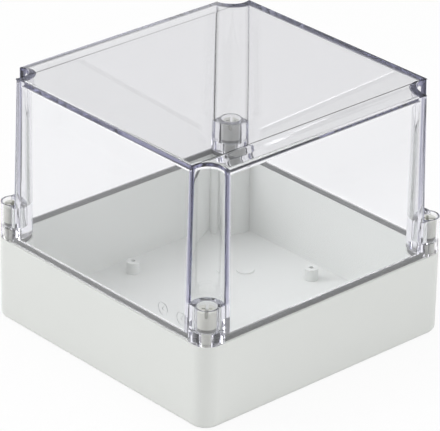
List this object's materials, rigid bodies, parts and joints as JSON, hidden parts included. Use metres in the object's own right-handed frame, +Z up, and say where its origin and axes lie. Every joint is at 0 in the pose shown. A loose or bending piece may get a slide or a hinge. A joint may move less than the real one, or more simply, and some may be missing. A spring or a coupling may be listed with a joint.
{
  "type": "clear-lid wall enclosure",
  "caption": "Square wall box of light grey polycarbonate with a deep clear lid, sealed by a gasket and held by captive corner screws in round wells.",
  "frame": {"origin": "centre of the underside of the base", "axes": "+Z up through the lid, +X and +Y along the square base's sides; the two round moulding marks are on the lid's -Y wall"},
  "size_m": [0.18, 0.182, 0.1516],
  "materials": {
    "grey_polycarbonate": "satin",
    "clear_polycarbonate": "gloss, clear",
    "seal_rubber": "matte",
    "washer_rubber": "matte",
    "screw_polyamide": "satin",
    "insert_brass": "satin"
  },
  "bodies": {
    "base": {"base_shell": "grey_polycarbonate", "thread_insert_1": "insert_brass", "thread_insert_2": "insert_brass", "thread_insert_3": "insert_brass", "thread_insert_4": "insert_brass"},
    "lid": {"lid_shell": "clear_polycarbonate", "gasket": "seal_rubber"},
    "washer_1": {"screw_washer_1": "washer_rubber"},
    "washer_2": {"screw_washer_2": "washer_rubber"},
    "washer_3": {"screw_washer_3": "washer_rubber"},
    "washer_4": {"screw_washer_4": "washer_rubber"},
    "screw_1": {"lid_screw_1": "screw_polyamide"},
    "screw_2": {"lid_screw_2": "screw_polyamide"},
    "screw_3": {"lid_screw_3": "screw_polyamide"},
    "screw_4": {"lid_screw_4": "screw_polyamide"}
  },
  "joints": [
    {"name": "lid_lift", "type": "slide", "parent": "base", "child": "lid", "axis": [0, 0, 1], "range_m": [0, 0.12]},
    {"name": "screw_1_rise", "type": "slide", "parent": "lid", "child": "washer_1", "axis": [0, 0, 1], "range_m": [0, 0.0065]},
    {"name": "screw_2_rise", "type": "slide", "parent": "lid", "child": "washer_2", "axis": [0, 0, 1], "range_m": [0, 0.0065]},
    {"name": "screw_3_rise", "type": "slide", "parent": "lid", "child": "washer_3", "axis": [0, 0, 1], "range_m": [0, 0.0065]},
    {"name": "screw_4_rise", "type": "slide", "parent": "lid", "child": "washer_4", "axis": [0, 0, 1], "range_m": [0, 0.0065]},
    {"name": "screw_1_turn", "type": "hinge", "parent": "washer_1", "child": "screw_1", "pos_m": [-0.082, -0.083, 0.06], "axis": [0, 0, 1], "range_deg": [0, 780]},
    {"name": "screw_2_turn", "type": "hinge", "parent": "washer_2", "child": "screw_2", "pos_m": [0.082, -0.083, 0.06], "axis": [0, 0, 1], "range_deg": [0, 780]},
    {"name": "screw_3_turn", "type": "hinge", "parent": "washer_3", "child": "screw_3", "pos_m": [0.082, 0.083, 0.06], "axis": [0, 0, 1], "range_deg": [0, 780]},
    {"name": "screw_4_turn", "type": "hinge", "parent": "washer_4", "child": "screw_4", "pos_m": [-0.082, 0.083, 0.06], "axis": [0, 0, 1], "range_deg": [0, 780]}
  ],
  "couplings": [
    {"joint": "screw_1_turn", "follows": "screw_1_rise", "rad_per_m": 2094.4},
    {"joint": "screw_2_turn", "follows": "screw_2_rise", "rad_per_m": 2094.4},
    {"joint": "screw_3_turn", "follows": "screw_3_rise", "rad_per_m": 2094.4},
    {"joint": "screw_4_turn", "follows": "screw_4_rise", "rad_per_m": 2094.4}
  ]
}
